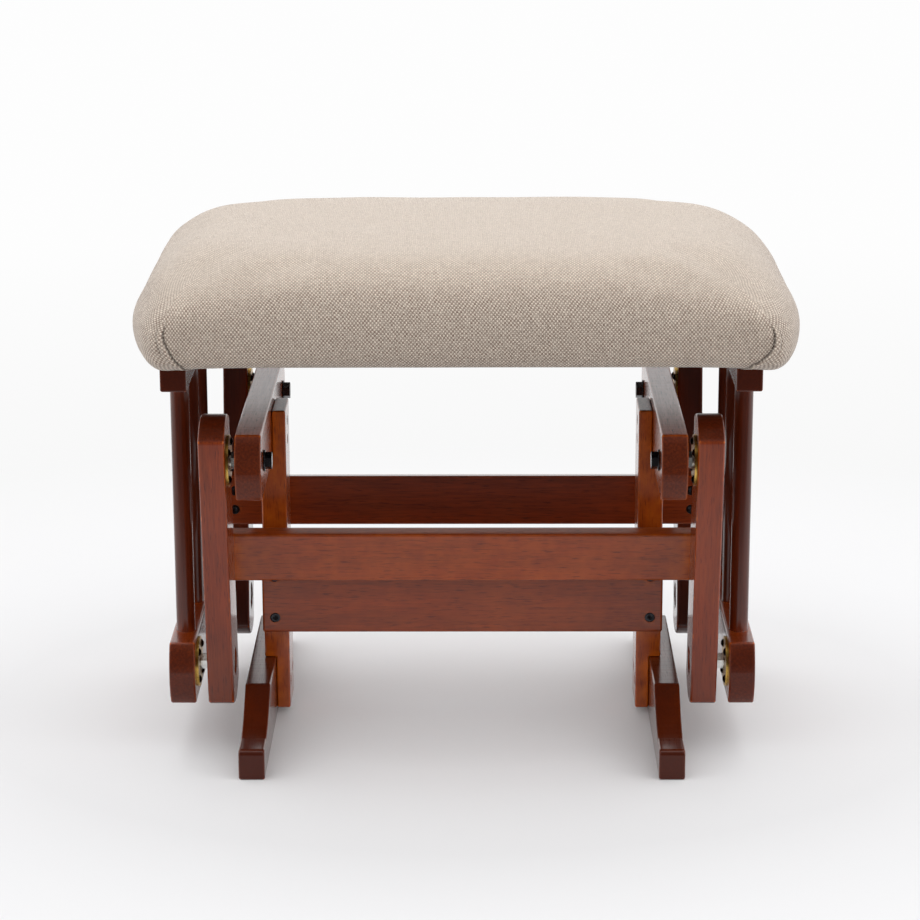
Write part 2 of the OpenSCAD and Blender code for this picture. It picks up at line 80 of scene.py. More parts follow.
# Colours, linear
CHERRY = (0.242, 0.032, 0.0036, 1)
CHERRY_DARK = (0.045, 0.006, 0.0016, 1)
CHERRY_BARE = (0.480, 0.098, 0.005, 1)
BLACK = (0.05, 0.05, 0.055, 1)
ZINC = (0.78, 0.79, 0.77, 1)
YELLOW_ZINC = (0.80, 0.52, 0.13, 1)
BALL_STEEL = (0.70, 0.71, 0.72, 1)
CREAM_YARN = (0.70, 0.605, 0.51, 1)
TAUPE_YARN = (0.24, 0.175, 0.14, 1)
PLY = (0.56, 0.38, 0.20, 1)
PLY_DARK = (0.30, 0.18, 0.09, 1)
PLY_PALE = (0.66, 0.50, 0.30, 1)
DUST_CLOTH = (0.012, 0.012, 0.014, 1)
DUST_CLOTH_WORN = (0.03, 0.03, 0.033, 1)
FLOOR = (0.78, 0.78, 0.79, 1)
# Painted light: the floor's paler colour under the ottoman, which lifts its shadow
FLOOR_PAINTED_LIGHT = (0.92, 0.92, 0.93, 1)
FLOOR_IN_FRONT = (0.10, 0.10, 0.10, 1)

# Wood: the figure, fibres, pores and planer marks, each as how many there are to a metre along the
# board and across it, how detailed they are and how rough
WOOD_MARKS = [
    ((1.8, 26, 34), 3.0, 0.6), ((26, 560, 560), 2.0, 0.6), ((85, 1250, 1250), 1.0, 0.4),
    ((190, 9, 9), 1.0, 0.4)]
PLANER_HEIGHT = 8.0

# The other marks, as how many there are to a metre
BLOTCHES = 11
THIN_PATCHES = 75
YARN_DRIFTS = 55
YARN_FUZZ = 2600
SMUDGES = 260
GRIT = 2400
DUST_CLOTH_FIBRES = 1500

# Tweed: distance between neighbouring yarns across and down the cloth
YARN_ACROSS = 1.5 * MM
YARN_DOWN = 1.76 * MM
YARN_WANDER = 2.4 * MM

# How deep the bumps of each finish are
GRAIN_DEPTH = 0.05 * MM
YARN_DEPTH = 0.35 * MM
SMUDGE_DEPTH = 0.02 * MM
PLY_DEPTH = 0.1 * MM
DUST_CLOTH_DEPTH = 0.1 * MM


# Objects

def add_object(name, data):
    made = bpy.data.objects.new(name, data)
    bpy.context.scene.collection.objects.link(made)
    return made


def mesh_from(bm, name):
    mesh = bpy.data.meshes.new(name)
    bm.to_mesh(mesh)
    bm.free()
    return mesh


def put_in_place(piece, node):
    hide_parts(node)
    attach(piece, frame["nodes"][node]["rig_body"])


def store(mesh, name, kind, domain, key, values):
    mesh.attributes.new(name, kind, domain).data.foreach_set(key, values)


# Camera

def place_camera():
    camera = add_object("camera", bpy.data.cameras.new("camera"))
    camera.data.sensor_width = SENSOR_WIDTH
    camera.data.lens = FOCAL_PX / PHOTO_WIDTH_PX * SENSOR_WIDTH
    camera.data.clip_end = CAMERA_SIGHT
    level = Euler((math.radians(90 - CAMERA_PITCH), 0, math.radians(CAMERA_YAW))).to_matrix()
    facing = level @ Matrix.Rotation(math.radians(CAMERA_ROLL), 3, "Z")
    camera.matrix_world = Matrix.Translation(CAMERA_PLACE) @ facing.to_4x4()
    bpy.context.scene.camera = camera


# Shader building

class Nodes:
    """Adds nodes to a tree and links them. A value that is a socket is linked, any other is set."""

    def __init__(self, tree):
        self.tree = tree

    def put(self, kind, settings=None, **inputs):
        node = self.tree.nodes.new(kind)
        for key, value in (settings or {}).items():
            setattr(node, key, value)
        self.fill(node, **inputs)
        return node

    def fill(self, node, **inputs):
        for key, value in inputs.items():
            self.feed(node.inputs[key.replace("_", " ")], value)

    def feed(self, socket, value):
        if isinstance(value, bpy.types.NodeSocket):
            self.tree.links.new(value, socket)
        else:
            socket.default_value = value

    def math(self, operation, *values, kind="ShaderNodeMath"):
        node = self.put(kind, {"operation": operation})
        for socket, value in zip(node.inputs, values):
            self.feed(socket, value)
        return node.outputs[0]

    def times(self, a, b):
        return self.math("MULTIPLY", a, b)

    def vector(self, operation, a, b):
        return self.math(operation, a, b, kind="ShaderNodeVectorMath")

    def mix(self, factor, a, b, blend="MIX"):
        node = self.tree.nodes.new("ShaderNodeMix")
        node.data_type = "RGBA"
        node.blend_type = blend
        for name, value in (("Factor_Float", factor), ("A_Color", a), ("B_Color", b)):
            self.feed(next(s for s in node.inputs if s.identifier == name), value)
        return next(s for s in node.outputs if s.identifier == "Result_Color")

    def noise(self, vector, scale, detail=2.0, rough=0.5):
        node = self.put("ShaderNodeTexNoise", Vector=vector, Scale=scale, Detail=detail, Roughness=rough)
        return node.outputs["Fac"]

    def ramp(self, value, low, high, out_low=0.0, out_high=1.0):
        node = self.put("ShaderNodeMapRange", Value=value)
        for socket, number in zip(node.inputs[1:5], (low, high, out_low, out_high)):
            self.feed(socket, number)
        return node.outputs[0]

    def attribute(self, name, output):
        return self.put("ShaderNodeAttribute", {"attribute_name": name}).outputs[output]

    def place(self):
        return self.put("ShaderNodeTexCoord").outputs["Object"]


FLOAT = "NodeSocketFloat"
COLOUR = "NodeSocketColor"
VECTOR = "NodeSocketVector"


def start_group(name, inputs, outputs):
    """A shader node group with the named inputs and outputs, and its ends."""
    group = bpy.data.node_groups.new(name, "ShaderNodeTree")
    for label, kind, default in inputs:
        socket = group.interface.new_socket(label, in_out="INPUT", socket_type=kind)
        if default is not None:
            socket.default_value = default
    for label, kind in outputs:
        group.interface.new_socket(label, in_out="OUTPUT", socket_type=kind)
    n = Nodes(group)
    return group, n, n.put("NodeGroupInput").outputs, n.put("NodeGroupOutput").inputs


def start_material(name):
    material = bpy.data.materials.new(name)
    material.use_nodes = True
    return material, Nodes(material.node_tree), material.node_tree.nodes["Principled BSDF"]


def use_group(n, group, **inputs):
    return n.put("ShaderNodeGroup", {"node_tree": group}, **inputs).outputs


def bump(n, shader, height, depth, strength):
    node = n.put("ShaderNodeBump", Height=height, Distance=depth, Strength=strength)
    n.feed(shader.inputs["Normal"], node.outputs[0])


def wood_grain_group():
    """Figure, fibres, pores and planer marks of a board whose grain runs along the first axis of Vector.

    Thin says where little stain took, and End where the face cuts across the fibres."""
    group, n, given, out = start_group(
        "wood_grain",
        [("Vector", VECTOR, None), ("Stain", COLOUR, CHERRY), ("Dark", COLOUR, CHERRY_DARK),
         ("Bare", COLOUR, CHERRY_BARE), ("Thin", FLOAT, 0.0), ("End", FLOAT, 0.0)],
        [("Colour", COLOUR), ("Roughness", FLOAT), ("Height", FLOAT), ("Lacquer", FLOAT)])
    vector = given["Vector"]
    figure, fibres, pores, planed = (
        n.noise(n.vector("MULTIPLY", vector, marks), 1.0, detail, rough)
        for marks, detail, rough in WOOD_MARKS)
    blotch = n.noise(vector, BLOTCHES, 2.0, 0.5)
    pore = n.ramp(pores, 0.60, 0.72)
    streaks = n.math("ADD", n.ramp(figure, 0.3, 0.72, 0.0, 0.42), n.ramp(fibres, 0.35, 0.72, 0.0, 0.36))
    colour = n.mix(streaks, given["Stain"], given["Dark"])
    colour = n.mix(n.ramp(blotch, 0.45, 0.75, 0.0, 0.14), colour, given["Bare"])
    patches = n.ramp(n.noise(vector, THIN_PATCHES, 3.0, 0.6), 0.3, 0.7, 0.4, 1.15)
    uneven = n.times(given["Thin"], patches)
    colour = n.mix(n.ramp(uneven, 0.0, 1.0), colour, given["Bare"])
    colour = n.mix(n.ramp(given["Thin"], -1.0, 0.0, 1.0, 0.0), colour, given["Dark"])
    soaked = n.times(given["End"], n.ramp(fibres, 0.3, 0.7, 0.6, 0.85))
    colour = n.mix(soaked, colour, given["Dark"])
    n.feed(out["Colour"], n.mix(n.times(pore, 0.6), colour, given["Dark"]))
    n.feed(out["Roughness"], n.math("ADD", n.ramp(fibres, 0.3, 0.8, 0.30, 0.42), n.times(pore, 0.15)))
    height = n.math("SUBTRACT", n.times(fibres, 0.25), pore)
    n.feed(out["Height"], n.math("MULTIPLY_ADD", planed, PLANER_HEIGHT, height))
    n.feed(out["Lacquer"], n.times(
        n.ramp(given["End"], 0.0, 1.0, 0.95, 0.45), n.ramp(blotch, 0.3, 0.7, 0.9, 1.0)))
    return group


def tweed_group():
    """Plain weave of a cream and a taupe yarn over the cloth's own coordinates, with slubs and heathering.
    Its upward faces are painted lighter, and its pleats' gutters and tucks get painted shade.
    """
    group, n, given, out = start_group(
        "tweed_weave",
        [("Vector", VECTOR, None), ("Across", FLOAT, YARN_ACROSS), ("Down", FLOAT, YARN_DOWN),
         ("Cream", COLOUR, CREAM_YARN), ("Taupe", COLOUR, TAUPE_YARN), ("Pressed", FLOAT, 0.0),
         ("Crease", FLOAT, 0.0)],
        [("Colour", COLOUR), ("Height", FLOAT)])
    vector = given["Vector"]
    drift = n.put("ShaderNodeTexNoise", Vector=vector, Scale=YARN_DRIFTS, Detail=1.0).outputs["Color"]
    wander = n.vector("MULTIPLY", n.vector("SUBTRACT", drift, (0.5, 0.5, 0.5)), (YARN_WANDER, YARN_WANDER, 0))
    laid = n.put("ShaderNodeSeparateXYZ", Vector=n.vector("ADD", vector, wander)).outputs
    across = n.math("DIVIDE", laid["X"], given["Across"])
    down = n.math("DIVIDE", laid["Y"], given["Down"])
    column = n.math("FLOOR", across)
    row = n.math("FLOOR", down)
    weft_over = n.math("MODULO", n.math("ABSOLUTE", n.math("ADD", column, row)), 2.0)
    across_arch = n.math("SINE", n.times(n.math("SUBTRACT", across, column), math.pi))
    down_arch = n.math("SINE", n.times(n.math("SUBTRACT", down, row), math.pi))
    crest = n.times(across_arch, down_arch)
    cell = n.put("ShaderNodeCombineXYZ", X=column, Y=row).outputs[0]
    slub = n.put("ShaderNodeTexWhiteNoise", {"noise_dimensions": "2D"}, Vector=cell).outputs["Value"]
    warp = n.put("ShaderNodeCombineXYZ", X=column, Y=n.times(row, 0.1)).outputs[0]
    weft = n.put("ShaderNodeCombineXYZ", X=n.times(column, 0.1), Y=row).outputs[0]
    tone = n.math("ADD", n.noise(warp, 0.9), n.noise(weft, 0.9))
    fuzz = n.noise(vector, YARN_FUZZ, 2.0, 0.7)
    taupe = n.times(n.math("SUBTRACT", 1.0, weft_over), n.ramp(slub, 0.0, 1.0, 0.50, 0.95))
    taupe = n.math("ADD", taupe, n.ramp(crest, 0.05, 0.4, 0.45, 0.0))
    taupe = n.math("ADD", taupe, n.ramp(tone, 0.75, 1.25, -0.10, 0.12))
    # Painted light: on upward faces the cloth gets less of the taupe yarn, so its top looks lighter
    taupe = n.times(taupe, n.ramp(given["Pressed"], 0.0, 1.0, 1.0, 0.62))
    colour = n.mix(n.ramp(taupe, 0.0, 1.0), given["Cream"], given["Taupe"])
    light = n.math("ADD", n.ramp(slub, 0.0, 1.0, 0.90, 1.08), n.ramp(fuzz, 0.3, 0.7, -0.07, 0.07))
    # Painted shade: darker cloth in the pleats' gutters and tucks, and below zero a painted highlight on the
    # crests of their lips
    light = n.times(light, n.math("MULTIPLY_ADD", given["Crease"], -0.6, 1.0))
    grey = n.put("ShaderNodeCombineColor", Red=light, Green=light, Blue=light).outputs[0]
    n.feed(out["Colour"], n.mix(1.0, colour, grey, "MULTIPLY"))
    height = n.math("ADD", crest, n.times(weft_over, 0.25))
    n.feed(out["Height"], n.math("ADD", height, n.times(fuzz, 0.35)))
    return group


def smudge_group():
    """Fine smudges and scratches of a metal finish."""
    group, n, given, out = start_group(
        "metal_smudge",
        [("Vector", VECTOR, None), ("Colour", COLOUR, ZINC), ("Roughness", FLOAT, 0.3),
         ("Depth", FLOAT, 0.3)],
        [("Colour", COLOUR), ("Roughness", FLOAT), ("Height", FLOAT)])
    cloud = n.noise(given["Vector"], SMUDGES, 3.0, 0.6)
    grit = n.noise(given["Vector"], GRIT, 2.0, 0.6)
    darker = n.mix(1.0, given["Colour"], (0.55, 0.55, 0.55, 1), "MULTIPLY")
    n.feed(out["Colour"], n.mix(n.times(n.ramp(cloud, 0.35, 0.7), given["Depth"]), given["Colour"], darker))
    n.feed(out["Roughness"], n.math("ADD", given["Roughness"], n.ramp(grit, 0.3, 0.7, -0.06, 0.10)))
    n.feed(out["Height"], grit)
    return group


WOOD_GRAIN = wood_grain_group()
TWEED = tweed_group()
SMUDGE = smudge_group()


# Finishes

def cherry(name):
    """Cherry-stained, lacquered wood."""
    material, n, shader = start_material(name)
    grain = use_group(
        n, WOOD_GRAIN, Vector=n.attribute("timber", "Vector"), Thin=n.attribute("thin_stain", "Fac"),
        End=n.attribute("end_grain", "Fac"))
    n.fill(shader, Base_Color=grain["Colour"], Roughness=grain["Roughness"], Specular_IOR_Level=0.08,
           Coat_Weight=grain["Lacquer"], Coat_IOR=1.5, Coat_Roughness=0.17)
    bump(n, shader, grain["Height"], GRAIN_DEPTH, 0.5)
    return material


def tweed(name):
    material, n, shader = start_material(name)
    # The attributes below paint the cloth lighter on its upward faces (painted light) and darker in the
    # pleats' gutters and tucks (painted shade)
    weave = use_group(n, TWEED, Vector=n.attribute("cloth", "Vector"), Pressed=n.attribute("pressed", "Fac"),
                      Crease=n.attribute("crease_shade", "Fac"))
    n.fill(shader, Base_Color=weave["Colour"], Roughness=0.92, Specular_IOR_Level=0.2, Sheen_Weight=0.35,
           Sheen_Roughness=0.4)
    bump(n, shader, weave["Height"], YARN_DEPTH, 0.8)
    return material


def metal(name, colour, roughness, depth):
    material, n, shader = start_material(name)
    finish = use_group(n, SMUDGE, Vector=n.place(), Colour=colour, Roughness=roughness, Depth=depth)
    n.fill(shader, Base_Color=finish["Colour"], Roughness=finish["Roughness"], Metallic=1.0)
    bump(n, shader, finish["Height"], SMUDGE_DEPTH, 0.4)
    return material


def plywood(name):
    material, n, shader = start_material(name)
    grain = use_group(n, WOOD_GRAIN, Vector=n.place(), Stain=PLY, Dark=PLY_DARK, Bare=PLY_PALE)
    n.fill(shader, Base_Color=grain["Colour"], Roughness=0.8)
    bump(n, shader, grain["Height"], PLY_DEPTH, 0.8)
    return material


def black_cloth(name):
    material, n, shader = start_material(name)
    fibres = n.noise(n.place(), DUST_CLOTH_FIBRES, 3.0, 0.7)
    colour = n.mix(n.ramp(fibres, 0.3, 0.7), DUST_CLOTH, DUST_CLOTH_WORN)
    n.fill(shader, Base_Color=colour, Roughness=0.9, Sheen_Weight=0.2)
    bump(n, shader, fibres, DUST_CLOTH_DEPTH, 0.6)
    return material


CHERRY_WOOD = cherry("cherry_wood")
TWEED_CLOTH = tweed("tweed")


# Boards

EDGE_EASE = 1.8 * MM
EASE_STEPS = 3
SHARP_ANGLE = math.radians(25)
SMOOTH_ANGLE = math.radians(35)
FLAT_ANGLE = math.radians(0.8)
WELD = 0.01 * MM
HOLE_RADIUS = 14 * MM
BOARD_CELL = 6 * MM
SHELTER_REACH = 32 * MM
SHELTER_LIFT = 0.4 * MM
SHELTER_RAYS = 14
SHELTER_THINS = 1.5
END_FROM, END_TO = 0.45, 0.95
ARM_LEAN = 9.25
BOTTOM_DARK_REACH = 120 * MM
TIMBER_STEP = (1.37, 2.11, 0.83)
EDGE_WEAR = 0.3
WEAR_PATCHES = 22
WEAR_SHARE = 0.35

# The way the grain of each board runs, how thinly it was stained, and how much darker it grows towards its
# bottom end
ALONG_X, ALONG_Y, ALONG_Z = (1, 0, 0), (0, 1, 0), (0, 0, 1)
BOARDS = {
    "foot": (ALONG_Y, -0.85, 0.0),
    "upright": (ALONG_Z, 0.5, 0.35),
    "pivot_rail": (ALONG_Y, 0.15, 0.0),
    "front_arm": (ALONG_Z, -0.12, 0.4),
    "rear_arm": (ALONG_Z, -0.9, 0.0),
    "lower_rail": (ALONG_Y, -0.25, 0.0),
    "top_rail": (ALONG_Y, -0.75, 0.0)}
BARS = {"stretcher": 0.12, "front_crossbar": 0.22, "rear_crossbar": 0.0}


def shelter_tree():
    """Everything that stood in the way of the spray gun when the frame was stained."""
    points, faces = [], []
    for name, node in frame["nodes"].items():
        if name.endswith(("balls", "foam", "cloth")):
            continue
        start = len(points)
        points.extend(vert.co for vert in node.data.vertices)
        faces.extend([start + index for index in face.vertices] for face in node.data.polygons)
    return BVHTree.FromPolygons(points, faces)


def spray_rays():
    """Directions spread evenly over the half sphere round +Z."""
    turn = math.pi * (3 - math.sqrt(5))
    rays = []
    for k in range(SHELTER_RAYS):
        up = math.sqrt((k + 0.5) / SHELTER_RAYS)
        flat = math.sqrt(1 - up * up)
        rays.append(Vector((flat * math.cos(k * turn), flat * math.sin(k * turn), up)))
    return rays


SHELTER = shelter_tree()
SPRAY = spray_rays()


def sheltered(place, normal):
    """From 0 in the open to 1 in a tight corner."""
    tilt = Vector(ALONG_Z).rotation_difference(normal)
    start = place + normal * SHELTER_LIFT
    blocked = 0.0
    for ray in SPRAY:
        distance = SHELTER.ray_cast(start, tilt @ ray, SHELTER_REACH)[3]
        if distance is not None:
            blocked += 1 - distance / SHELTER_REACH
    return blocked / SHELTER_RAYS


def share_between(value, low, high):
    return min(1.0, max(0.0, (value - low) / (high - low)))


def smooth_step(value, low, high):
    share = share_between(value, low, high)
    return share * share * (3 - 2 * share)


def in_small_hole(face):
    """True on the wall of a bolt, screw or bearing hole."""
    for edge in face.edges:
        if len(edge.link_faces) != 2 or edge.is_convex:
            continue
        angle = edge.calc_face_angle()
        if angle < FLAT_ANGLE or angle > SHARP_ANGLE:
            continue
        a, b = (f.calc_center_median() for f in edge.link_faces)
        if (a - b).length / angle < HOLE_RADIUS:
            return True
    return False


def cut_into_cells(bm):
    """Scores the board with a grid of edges, so that its stain can vary over flat faces."""
    corners = [vert.co.copy() for vert in bm.verts]
    for axis in range(3):
        low = min(co[axis] for co in corners)
        high = max(co[axis] for co in corners)
        way = Vector((axis == 0, axis == 1, axis == 2))
        count = max(1, round((high - low) / BOARD_CELL))
        for k in range(1, count):
            bmesh.ops.bisect_plane(
                bm, geom=bm.verts[:] + bm.edges[:] + bm.faces[:], dist=WELD,
                plane_co=way * (low + (high - low) * k / count), plane_no=way)


def stain_board(mesh, along, thinness, bottom_dark, number, eased):
    """Lays the timber's grain along the board, and stores where its stain is thin, how much darker it grows
    towards its bottom end, and where its grain is cut.
    """
    along = Vector(along).normalized()
    across = along.orthogonal().normalized()
    thick = along.cross(across)
    offset = Vector([number * step for step in TIMBER_STEP])
    low = min(vert.co.z for vert in mesh.vertices)
    timber, thin = [], []
    for vert, edge in zip(mesh.vertices, eased):
        timber.extend(Vector((vert.co.dot(along), vert.co.dot(across), vert.co.dot(thick))) + offset)
        worn = EDGE_WEAR * max(0.0, noise.noise(vert.co * WEAR_PATCHES) + WEAR_SHARE)
        # Darker towards the bottom end, fading out over the lowest stretch of the board
        darkened_below = bottom_dark * (1 - smooth_step(vert.co.z - low, 0.0, BOTTOM_DARK_REACH))
        thin.append(thinness + edge * worn + SHELTER_THINS * sheltered(vert.co, vert.normal) - darkened_below)
    ends = [smooth_step(abs(corner.vector.dot(along)), END_FROM, END_TO) for corner in mesh.corner_normals]
    store(mesh, "timber", "FLOAT_VECTOR", "POINT", "vector", timber)
    store(mesh, "thin_stain", "FLOAT", "POINT", "value", thin)
    store(mesh, "end_grain", "FLOAT", "CORNER", "value", ends)
    mesh.materials.append(CHERRY_WOOD)


def eased_board(node, along, thinness, bottom_dark, number):
    """A board cut as the node says, with its outer edges rounded over, in place of that node."""
    bm = bmesh.new()
    bm.from_mesh(frame["nodes"][node].data)
    bmesh.ops.remove_doubles(bm, verts=bm.verts, dist=WELD)
    bmesh.ops.dissolve_limit(bm, angle_limit=FLAT_ANGLE, verts=bm.verts, edges=bm.edges)
    holes = {face for face in bm.faces if in_small_hole(face)}
    outer = [
        edge for edge in bm.edges
        if len(edge.link_faces) == 2 and edge.is_convex and edge.calc_face_angle() > SHARP_ANGLE
        and not holes.intersection(edge.link_faces)]
    made = bmesh.ops.bevel(
        bm, geom=outer, offset=EDGE_EASE, offset_type="OFFSET", segments=EASE_STEPS, profile=0.5,
        affect="EDGES", clamp_overlap=True)
    rounded = set(made["faces"])
    ease = bm.verts.layers.float.new("ease")
    for vert in bm.verts:
        vert[ease] = float(bool(vert.link_faces) and rounded.issuperset(vert.link_faces))
    cut_into_cells(bm)
    eased = [vert[ease] for vert in bm.verts]
    bm.verts.layers.float.remove(ease)
    mesh = mesh_from(bm, node)
    mesh.shade_smooth()
    mesh.set_sharp_from_angle(angle=SMOOTH_ANGLE)
    stain_board(mesh, along, thinness, bottom_dark, number, eased)
    piece = add_object(f"{node}_wood", mesh)
    piece.modifiers.new("flat_faces", "WEIGHTED_NORMAL").keep_sharp = True
    put_in_place(piece, node)


def arm_way(node):
    """The way an arm leans."""
    lean = math.radians(ARM_LEAN)
    low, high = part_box(node)
    return 0, math.copysign(math.sin(lean), low.y + high.y), math.cos(lean)


def make_boards():
    number = 1
    for name, (along, thinness, bottom_dark) in BOARDS.items():
        for side in ("left", "right"):
            node = f"{name}_{side}"
            eased_board(node, arm_way(node) if name.endswith("arm") else along, thinness, bottom_dark, number)
            number += 1
    for name, thinness in BARS.items():
        eased_board(name, ALONG_X, thinness, 0.0, number)
        number += 1
    for side in ("left", "right"):
        turned_posts(side, number)
        number += 1


POST_COUNT = 3
POST_SIDES = 48
POST_RINGS = 30
LACQUER_BEAD = 0.5 * MM
BEAD_SHOULDER, BEAD_RISE = 0.4 * LACQUER_BEAD, 0.8 * LACQUER_BEAD
BEAD_END = 2.4 * LACQUER_BEAD
POST_THINNESS = -0.85


def post_outline(radius, low, high, rail_top, rail_bottom):
    """Radius and height up a post, with a bead of lacquer where it leaves each rail."""
    bead = LACQUER_BEAD
    foot = [(radius - bead, low), (radius, low + bead), (radius, rail_top - bead), (radius + bead, rail_top),
            (radius + BEAD_SHOULDER, rail_top + BEAD_RISE)]
    head = [(radius + BEAD_SHOULDER, rail_bottom - BEAD_RISE), (radius + bead, rail_bottom),
            (radius, rail_bottom + bead), (radius, high - bead), (radius - bead, high)]
    start, end = rail_top + BEAD_END, rail_bottom - BEAD_END
    return foot + [(radius, start + (end - start) * k / POST_RINGS) for k in range(POST_RINGS + 1)] + head


def turned_posts(side, number):
    """The three round posts of one side of the seat frame."""
    node = f"posts_{side}"
    low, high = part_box(node)
    radius = (high.x - low.x) / 2
    pitch = (high.y - low.y - 2 * radius) / (POST_COUNT - 1)
    outline = post_outline(
        radius, low.z, high.z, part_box(f"lower_rail_{side}")[1].z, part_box(f"top_rail_{side}")[0].z)
    bm = bmesh.new()
    for k in range(POST_COUNT):
        rings = []
        for r, z in outline:
            rings.append([
                bm.verts.new((low.x + radius + r * math.cos(2 * math.pi * i / POST_SIDES),
                              low.y + radius + k * pitch + r * math.sin(2 * math.pi * i / POST_SIDES), z))
                for i in range(POST_SIDES)])
        for lower, upper in zip(rings, rings[1:]):
            for i in range(POST_SIDES):
                j = (i + 1) % POST_SIDES
                bm.faces.new((lower[i], lower[j], upper[j], upper[i]))
        bm.faces.new(rings[0][::-1])
        bm.faces.new(rings[-1])
    mesh = mesh_from(bm, node)
    mesh.shade_smooth()
    mesh.set_sharp_from_angle(angle=SMOOTH_ANGLE)
    stain_board(mesh, ALONG_Z, POST_THINNESS, 0.0, number, [0.0] * len(mesh.vertices))
    put_in_place(add_object(f"{node}_wood", mesh), node)


# Hardware

HARDWARE_EASE = 0.35 * MM

# The colour of each metal, how rough it is and how far smudges darken it
METALS = {
    "black_steel": (BLACK, 0.24, 0.3),
    "zinc_steel": (ZINC, 0.20, 0.5),
    "yellow_zinc": (YELLOW_ZINC, 0.25, 0.8),
    "bearing_steel": (BALL_STEEL, 0.12, 0.2)}


def finish_hardware():
    """Gives each metal node its finish and softens its corners."""
    finishes = {slot: metal(slot, *finish) for slot, finish in METALS.items()}
    finishes["plywood"] = plywood("plywood")
    for name, node in frame["nodes"].items():
        if node.hide_render:
            continue
        for slot in node.material_slots:
            slot.material = finishes.get(slot.material.name, slot.material)
        node.modifiers.new("weld", "WELD").merge_threshold = WELD
        if name.endswith(("bolts", "washers", "hubs", "plates")):
            ease = node.modifiers.new("ease", "BEVEL")
            ease.width = HARDWARE_EASE
            ease.segments = 2
            ease.limit_method = "ANGLE"
            ease.angle_limit = SHARP_ANGLE
        node.data.shade_smooth()
        node.data.set_sharp_from_angle(angle=SMOOTH_ANGLE)
        node.modifiers.new("flat_faces", "WEIGHTED_NORMAL").keep_sharp = True


# Cushion

CUSHION_CELL = 8 * MM
CUSHION_SWELL = 5 * MM
SWELL_POWER = 1.5
CUSHION_ROUND = 62 * MM
CUSHION_WIDER = 4 * MM
UNDER_WIDTH = 38 * MM
UNDER_ROWS = 4
CURVE_STEPS = 8
CORNER_DROOP = 4 * MM
DROOP_POWER = 10
CROWN_FADE = (0.0, 0.7)
START_SMALLER = 1.5 * MM
SWELL_PRESSURE = 4
SWELL_QUALITY = 6
SWELL_CAP = 3 * MM
SWELL_FRAMES = 20
SETTLE_ROUNDS = 6
SETTLE_SHARE = 0.6
WAVES = 16
WAVE_DEPTH = 0.7 * MM
ROW_SPACING = 0.8 * CUSHION_CELL

# How far up a face of the cover looks on its underside, and over which upward tilt the cloth is painted
# lighter, a painted highlight standing in for the sheen and light on its top
UNDERSIDE = -0.9
TOP_LIGHT_TILT = (0.5, 0.97)

# How high up the cushion its cloth stops hanging straight down, and from where it lies flat
CLOTH_TURN = (0.55, 0.9)

# The side of the cushion from the underside to the crown, each row as how far the front and the
# sides are drawn in, in shares of the rounding width, and how high it is, as a share of the height
SIDE_SHARES = [
    (0.20, 0.17, 0.00), (0.07, 0.08, 0.07), (0.01, 0.02, 0.20), (0.00, 0.03, 0.36), (0.05, 0.17, 0.53),
    (0.17, 0.32, 0.69), (0.38, 0.56, 0.82), (0.72, 0.81, 0.91), (1.20, 1.10, 0.96), (1.90, 1.90, 0.99)]

# How square the corners are above the folds and at the crown
SQUARE_MIDDLE, SQUARE_TOP = 6.2, 4.7
FOLD_HEIGHT = 0.4

# Below that the front is nearly flat, turns sharply, and the sides bulge out between the corners
FRONT_BOW = 5 * MM
SIDE_BULGE = [(0.0, 17 * MM), (0.2, 22 * MM), (0.4, 25 * MM)]
BOW_POWER, BULGE_POWER = 3, 5
TURN_REACH = 14 * MM
TURN_WAY = Vector((0.7, 0.9))
TURN_FADE = (0.42, 0.85)

# The cushion stands a little to one side, more so at its foot
SIDE_SHIFT = [(0.0, 5.5 * MM), (0.3, 3.8 * MM), (0.5, 3.2 * MM), (0.7, -0.5 * MM), (0.95, -2 * MM)]

# The front, right, back and left side: the way along it and the way out of it
SIDE_WAYS = [
    (Vector((1, 0)), Vector((0, -1))), (Vector((0, 1)), Vector((1, 0))),
    (Vector((-1, 0)), Vector((0, 1))), (Vector((0, -1)), Vector((-1, 0)))]


def smooth_curve(points, steps):
    """Points on a smooth curve through the given ones."""
    padded = [points[0]] + list(points) + [points[-1]]
    curve = []
    for a, b, c, d in zip(padded, padded[1:], padded[2:], padded[3:]):
        for k in range(steps):
            t = k / steps
            curve.append(tuple(
                0.5 * (2 * q + (r - p) * t + (2 * p - 5 * q + 4 * r - s) * t ** 2
                       + (3 * q - p - 3 * r + s) * t ** 3)
                for p, q, r, s in zip(a, b, c, d)))
    curve.append(tuple(points[-1]))
    return curve


def lengths_along(points):
    lengths = [0.0]
    for a, b in zip(points, points[1:]):
        lengths.append(lengths[-1] + math.dist(a, b))
    return lengths


def spaced(points, spacing):
    """Points about the given distance apart along a curve."""
    lengths = lengths_along(points)
    count = max(2, round(lengths[-1] / spacing))
    made, k = [], 0
    for step in range(count + 1):
        aim = lengths[-1] * step / count
        while k < len(points) - 2 and lengths[k + 1] < aim:
            k += 1
        t = (aim - lengths[k]) / max(TINY, lengths[k + 1] - lengths[k])
        made.append(tuple(p + (q - p) * t for p, q in zip(points[k], points[k + 1])))
    return made


def read_line(line, at):
    """The value at a place on a line of places and values."""
    for (a, p), (b, q) in zip(line, line[1:]):
        if at <= b:
            return p + (q - p) * share_between(at, a, b)
    return line[-1][1]


def corner_squareness(share):
    return SQUARE_MIDDLE + (SQUARE_TOP - SQUARE_MIDDLE) * max(0.0, share - FOLD_HEIGHT) / (1 - FOLD_HEIGHT)


def turned(x, y, side):
    """A point of the front side, turned to where it lies on another side."""
    for _ in range(side):
        x, y = -y, x
    return Vector((x, y))


